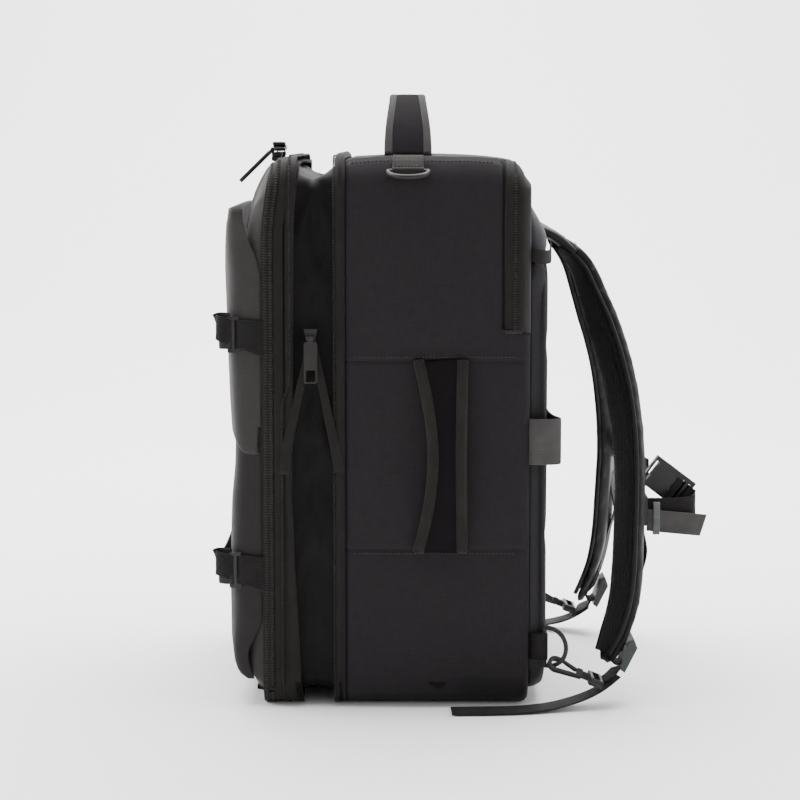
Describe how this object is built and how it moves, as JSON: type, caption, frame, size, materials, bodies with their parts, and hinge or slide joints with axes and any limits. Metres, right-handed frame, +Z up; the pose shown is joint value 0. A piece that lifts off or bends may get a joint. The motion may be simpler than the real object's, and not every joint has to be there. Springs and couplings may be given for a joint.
{
  "type": "travel backpack",
  "caption": "Expandable cabin travel backpack with a zipped front cover, front pockets, carrying handles, trolley strap and hook-on shoulder straps.",
  "frame": {"origin": "middle of the main compartment's base, on the surface that the bag stands on", "axes": "+Z up, -Y towards the front pockets, +Y towards the shoulder straps and the wearer's back, +X towards the wearer's right"},
  "size_m": [0.377, 0.431, 0.5326],
  "materials": {
    "shell_fabric": "fine woven nylon",
    "gusset_fabric": "thin woven nylon",
    "pocket_fabric": "fine woven nylon",
    "pad_fabric": "padded mesh",
    "zip_tape": "ribbed zip tape",
    "webbing": "ribbed webbing",
    "board": "plain sheet",
    "moulding": "fine matt moulding",
    "coated_metal": "satin black coat"
  },
  "bodies": {
    "bag": {"main_compartment_shell": "shell_fabric", "laptop_divider": "pad_fabric", "base_board": "board", "laptop_compartment_shell": "shell_fabric", "frame_sheet": "board", "laptop_zip_tape": "zip_tape", "back_pad": "pad_fabric", "yoke_cover": "shell_fabric", "trolley_strap": "webbing", "expansion_zip_rear": "zip_tape", "expansion_gusset": "gusset_fabric", "expansion_zip_ends": "zip_tape", "top_handle": "shell_fabric", "side_handle": "shell_fabric", "ring_tabs": "webbing"},
    "front_section": {"front_frame": "shell_fabric", "cover_zip_tape_rear": "zip_tape", "expansion_zip_front": "zip_tape"},
    "front_cover": {"cover_shell": "shell_fabric", "cover_zip_tape_front": "zip_tape", "upper_front_pocket": "pocket_fabric", "lower_front_pocket": "pocket_fabric", "compression_strap_upper": "webbing", "compression_strap_lower": "webbing", "compression_tabs": "pocket_fabric", "ladder_locks": "moulding"},
    "expansion_slider": {"expansion_slider": "coated_metal"},
    "expansion_puller": {"expansion_puller": "coated_metal"},
    "cover_slider_right": {"cover_slider_right": "coated_metal"},
    "cover_puller_right": {"cover_puller_right": "coated_metal"},
    "cover_slider_left": {"cover_slider_left": "coated_metal"},
    "cover_puller_left": {"cover_puller_left": "coated_metal"},
    "laptop_slider": {"laptop_slider": "coated_metal"},
    "laptop_puller": {"laptop_puller": "coated_metal"},
    "ring_top_right": {"d_ring_top_right": "coated_metal"},
    "ring_top_left": {"d_ring_top_left": "coated_metal"},
    "ring_bottom_right": {"d_ring_bottom_right": "coated_metal"},
    "ring_bottom_left": {"d_ring_bottom_left": "coated_metal"},
    "sternum_right": {"sternum_slide_right": "moulding", "sternum_webbing_right": "webbing", "buckle_male": "moulding"},
    "sternum_left": {"sternum_slide_left": "moulding", "sternum_webbing_left": "webbing", "buckle_female": "moulding"},
    "prong_upper": {"buckle_prong_upper": "moulding"},
    "prong_lower": {"buckle_prong_lower": "moulding"},
    "strap_right": {"strap_pad_right": "pad_fabric", "adjuster_right": "moulding", "strap_webbing_right": "webbing", "hook_swivel_right": "coated_metal", "webbing_tail_right": "webbing"},
    "hook_right": {"snap_hook_right": "coated_metal"},
    "gate_right": {"hook_gate_right": "coated_metal"},
    "strap_left": {"strap_pad_left": "pad_fabric", "adjuster_left": "moulding", "strap_webbing_left": "webbing", "hook_swivel_left": "coated_metal", "webbing_tail_left": "webbing"},
    "hook_left": {"snap_hook_left": "coated_metal"},
    "gate_left": {"hook_gate_left": "coated_metal"}
  },
  "joints": [
    {"name": "expansion", "type": "slide", "parent": "bag", "child": "front_section", "axis": [0, 1, 0], "range_m": [0, 0.036], "deforming": ["expansion_gusset", "expansion_zip_ends"]},
    {"name": "cover_fold", "type": "hinge", "parent": "front_section", "child": "front_cover", "pos_m": [0, -0.118, 0.014], "axis": [1, 0, 0], "range_deg": [0, 75]},
    {"name": "expansion_slider_follow", "type": "slide", "parent": "bag", "child": "expansion_slider", "axis": [0, 1, 0], "range_m": [0, 0.018]},
    {"name": "expansion_puller_lift", "type": "hinge", "parent": "expansion_slider", "child": "expansion_puller", "pos_m": [0.1641, -0.068, 0.3245], "axis": [0, -1, 0], "range_deg": [0, 150]},
    {"name": "cover_slider_right_run", "type": "slide", "parent": "front_cover", "child": "cover_slider_right", "axis": [1, 0, 0], "range_m": [0, 0.055]},
    {"name": "cover_puller_right_lift", "type": "hinge", "parent": "cover_slider_right", "child": "cover_puller_right", "pos_m": [0.06, -0.105, 0.4845], "axis": [-1, 0, 0], "range_deg": [0, 130]},
    {"name": "cover_slider_left_run", "type": "slide", "parent": "front_cover", "child": "cover_slider_left", "axis": [-1, 0, 0], "range_m": [0, 0.1]},
    {"name": "cover_puller_left_lift", "type": "hinge", "parent": "cover_slider_left", "child": "cover_puller_left", "pos_m": [-0.008, -0.101, 0.4845], "axis": [0, -1, 0], "range_deg": [0, 130]},
    {"name": "laptop_slider_run", "type": "slide", "parent": "bag", "child": "laptop_slider", "axis": [0, 0, 1], "range_m": [0, 0.1]},
    {"name": "laptop_puller_lift", "type": "hinge", "parent": "laptop_slider", "child": "laptop_puller", "pos_m": [-0.1625, 0.106, 0.3405], "axis": [0, 1, 0], "range_deg": [0, 150]},
    {"name": "ring_top_right_swing", "type": "hinge", "parent": "bag", "child": "ring_top_right", "pos_m": [0.1586, 0.0155, 0.4665], "axis": [0, 1, 0], "range_deg": [-50, 50]},
    {"name": "ring_bottom_right_swing", "type": "hinge", "parent": "bag", "child": "ring_bottom_right", "pos_m": [0.15, 0.135, 0.053], "axis": [0, 0, 1], "range_deg": [-5, 8]},
    {"name": "strap_right_lift", "type": "hinge", "parent": "bag", "child": "strap_right", "pos_m": [0.062, 0.148, 0.405], "axis": [1, 0, 0], "range_deg": [0, 70]},
    {"name": "hook_right_swivel", "type": "hinge", "parent": "strap_right", "child": "hook_right", "pos_m": [0.1547, 0.145, 0.038], "axis": [0, 0.927, -0.375], "range_deg": [-20, 20]},
    {"name": "gate_right_press", "type": "hinge", "parent": "hook_right", "child": "gate_right", "pos_m": [0.15271, 0.1617, 0.03287], "axis": [0.6025, 0.2993, 0.7399], "range_deg": [0, 15], "stiffness_Nm_per_rad": 0.12, "springref_deg": -20.05},
    {"name": "ring_top_left_swing", "type": "hinge", "parent": "bag", "child": "ring_top_left", "pos_m": [-0.1586, 0.0155, 0.4665], "axis": [0, -1, 0], "range_deg": [-50, 50]},
    {"name": "ring_bottom_left_swing", "type": "hinge", "parent": "bag", "child": "ring_bottom_left", "pos_m": [-0.15, 0.135, 0.053], "axis": [0, 0, -1], "range_deg": [-5, 8]},
    {"name": "strap_left_lift", "type": "hinge", "parent": "bag", "child": "strap_left", "pos_m": [-0.062, 0.148, 0.405], "axis": [1, 0, 0], "range_deg": [0, 70]},
    {"name": "hook_left_swivel", "type": "hinge", "parent": "strap_left", "child": "hook_left", "pos_m": [-0.1547, 0.145, 0.038], "axis": [0, -0.927, 0.375], "range_deg": [-20, 20]},
    {"name": "gate_left_press", "type": "hinge", "parent": "hook_left", "child": "gate_left", "pos_m": [-0.15271, 0.1617, 0.03287], "axis": [0.6025, -0.2993, -0.7399], "range_deg": [0, 15], "stiffness_Nm_per_rad": 0.12, "springref_deg": -20.05},
    {"name": "sternum_right_height", "type": "slide", "parent": "strap_right", "child": "sternum_right", "axis": [0, 0, 1], "range_m": [-0.025, 0.025]},
    {"name": "sternum_left_height", "type": "slide", "parent": "strap_left", "child": "sternum_left", "axis": [0, 0, 1], "range_m": [-0.025, 0.025]},
    {"name": "prong_upper_press", "type": "slide", "parent": "sternum_right", "child": "prong_upper", "axis": [0, -0.6018, -0.7986], "range_m": [0, 0.0025], "stiffness_N_per_m": 900, "springref_m": -0.001},
    {"name": "prong_lower_press", "type": "slide", "parent": "sternum_right", "child": "prong_lower", "axis": [0, 0.6018, 0.7986], "range_m": [0, 0.0025], "stiffness_N_per_m": 900, "springref_m": -0.001}
  ],
  "couplings": [
    {"joint": "expansion_slider_follow", "follows": "expansion", "ratio": 0.5},
    {"joint": "strap_left_lift", "follows": "strap_right_lift", "ratio": 1},
    {"joint": "sternum_left_height", "follows": "sternum_right_height", "ratio": 1}
  ]
}
